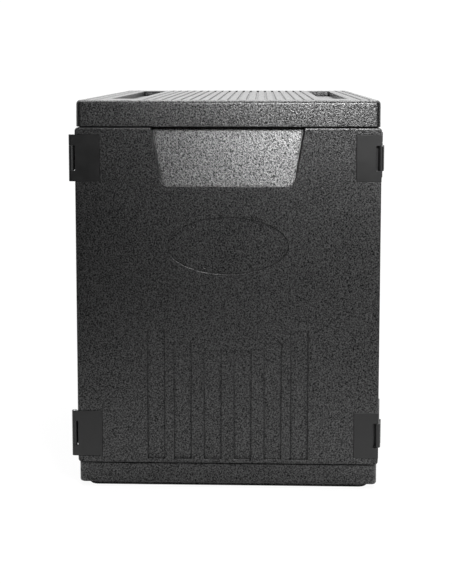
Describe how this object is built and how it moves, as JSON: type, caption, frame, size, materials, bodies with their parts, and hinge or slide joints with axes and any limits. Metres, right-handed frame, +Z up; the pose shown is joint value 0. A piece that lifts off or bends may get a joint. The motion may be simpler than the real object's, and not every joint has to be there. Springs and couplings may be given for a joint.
{
  "type": "insulated food carrier",
  "caption": "Front-loading insulated carrier for catering pans, a moulded foam box with runner ledges and a swing door held by side latches.",
  "frame": {"origin": "centre of the underside, on the floor", "axes": "+Z up, -Y towards the door, +X to the right of someone facing the door"},
  "size_m": [0.4602, 0.64, 0.575],
  "materials": {
    "foam": "fine moulded bead grain, expanded polypropylene",
    "hardware": "smooth satin moulded plastic",
    "nylon": "as moulded",
    "steel": "plain zinc-plated"
  },
  "bodies": {
    "carrier": {"body_shell": "foam", "hinge_body_leaf_upper": "hardware", "hinge_pin_upper": "steel", "latch_base_upper": "hardware", "latch_pin_upper": "steel", "hinge_screw_upper_bottom": "steel", "hinge_anchor_upper_bottom": "nylon", "hinge_screw_upper_top": "steel", "hinge_anchor_upper_top": "nylon", "latch_screw_upper_bottom": "steel", "latch_anchor_upper_bottom": "nylon", "latch_screw_upper_top": "steel", "latch_anchor_upper_top": "nylon", "hinge_body_leaf_lower": "hardware", "hinge_pin_lower": "steel", "latch_base_lower": "hardware", "latch_pin_lower": "steel", "hinge_screw_lower_bottom": "steel", "hinge_anchor_lower_bottom": "nylon", "hinge_screw_lower_top": "steel", "hinge_anchor_lower_top": "nylon", "latch_screw_lower_bottom": "steel", "latch_anchor_lower_bottom": "nylon", "latch_screw_lower_top": "steel", "latch_anchor_lower_top": "nylon"},
    "swing_door": {"door": "foam", "hinge_door_leaf_upper": "hardware", "latch_keeper_upper": "hardware", "hinge_door_leaf_lower": "hardware", "latch_keeper_lower": "hardware"},
    "upper_latch": {"latch_lever_upper": "hardware"},
    "lower_latch": {"latch_lever_lower": "hardware"}
  },
  "joints": [
    {"name": "door_swing", "type": "hinge", "parent": "carrier", "child": "swing_door", "pos_m": [-0.2263, -0.3162, 0.2875], "axis": [0, 0, -1], "range_deg": [0, 240]},
    {"name": "upper_latch_swing", "type": "hinge", "parent": "carrier", "child": "upper_latch", "pos_m": [0.2253, -0.246, 0.4915], "axis": [0, 0, 1], "range_deg": [0, 110]},
    {"name": "lower_latch_swing", "type": "hinge", "parent": "carrier", "child": "lower_latch", "pos_m": [0.2253, -0.246, 0.0835], "axis": [0, 0, 1], "range_deg": [0, 110]}
  ]
}
